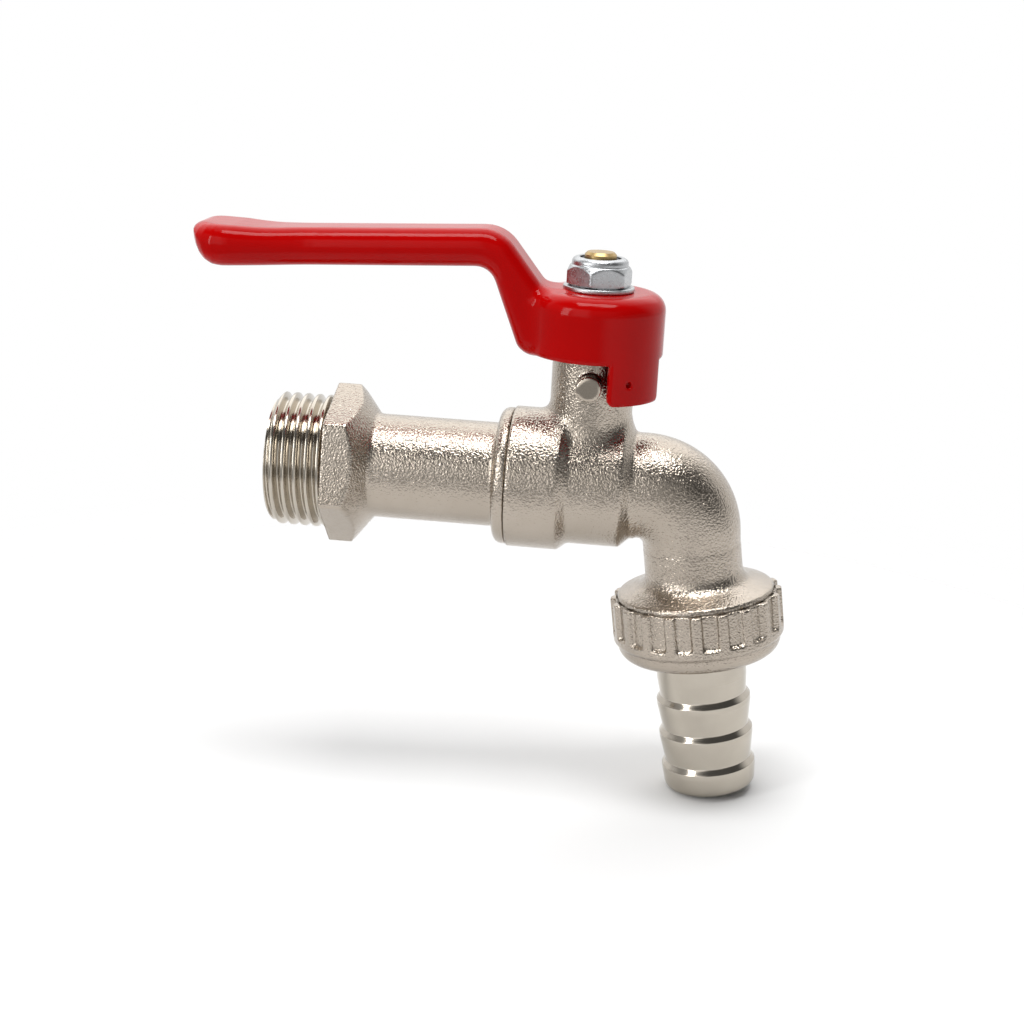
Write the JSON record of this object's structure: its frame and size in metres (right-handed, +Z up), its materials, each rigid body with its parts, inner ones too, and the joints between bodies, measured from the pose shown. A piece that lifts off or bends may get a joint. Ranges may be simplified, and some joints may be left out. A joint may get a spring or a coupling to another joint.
{
  "type": "hose tap",
  "caption": "Quarter-turn ball-valve hose tap: threaded inlet tailpiece, cranked red lever on a stem, bent spout, ribbed union nut and barbed hose tail.",
  "frame": {"origin": "centre of the inlet hexagon's shoulder, where the inlet thread starts, on the inlet axis", "axes": "+X along the inlet axis from the inlet towards the spout, +Z up along the lever's stem, -Y the side that the lever swings towards as it closes"},
  "size_m": [0.094, 0.027, 0.088],
  "materials": {
    "satin_nickel": "satin nickel plate on blasted forged brass",
    "bright_nickel": "bright nickel plate on turned brass",
    "red_coat": "thick glossy red coating on a die-cast lever",
    "chrome": "plated steel",
    "brass": "bare turned brass",
    "ball_chrome": "polished chrome on brass",
    "ptfe": "white PTFE",
    "nylon": "dark nylon",
    "rubber": "black rubber"
  },
  "bodies": {
    "tap_body": {"valve_body": "satin_nickel", "inlet_tailpiece": "satin_nickel", "upstream_seat": "ptfe", "downstream_seat": "ptfe", "thrust_washer": "ptfe", "lower_packing": "ptfe", "upper_packing": "ptfe", "gland_nut": "brass"},
    "lever_set": {"lever": "red_coat", "lever_washer": "chrome", "lock_nut": "chrome", "nylon_insert": "nylon", "stem": "brass", "ball": "ball_chrome"},
    "tail_set": {"hose_tail": "bright_nickel", "tail_gasket": "rubber"},
    "union_nut": {"coupling_nut": "satin_nickel"}
  },
  "joints": [
    {"name": "lever_turn", "type": "hinge", "parent": "tap_body", "child": "lever_set", "pos_m": [0.0401, 0, 0], "axis": [0, 0, 1], "range_deg": [0, 90]},
    {"name": "tail_slide", "type": "slide", "parent": "tap_body", "child": "tail_set", "axis": [0.1478, 0, -0.989], "range_m": [0, 0.00272]},
    {"name": "nut_turn", "type": "hinge", "parent": "tail_set", "child": "union_nut", "pos_m": [0.05589, 0, 0], "axis": [0.1478, 0, -0.989], "range_deg": [0, 540]}
  ],
  "couplings": [
    {"joint": "nut_turn", "follows": "tail_slide", "rad_per_m": 3463.7}
  ]
}
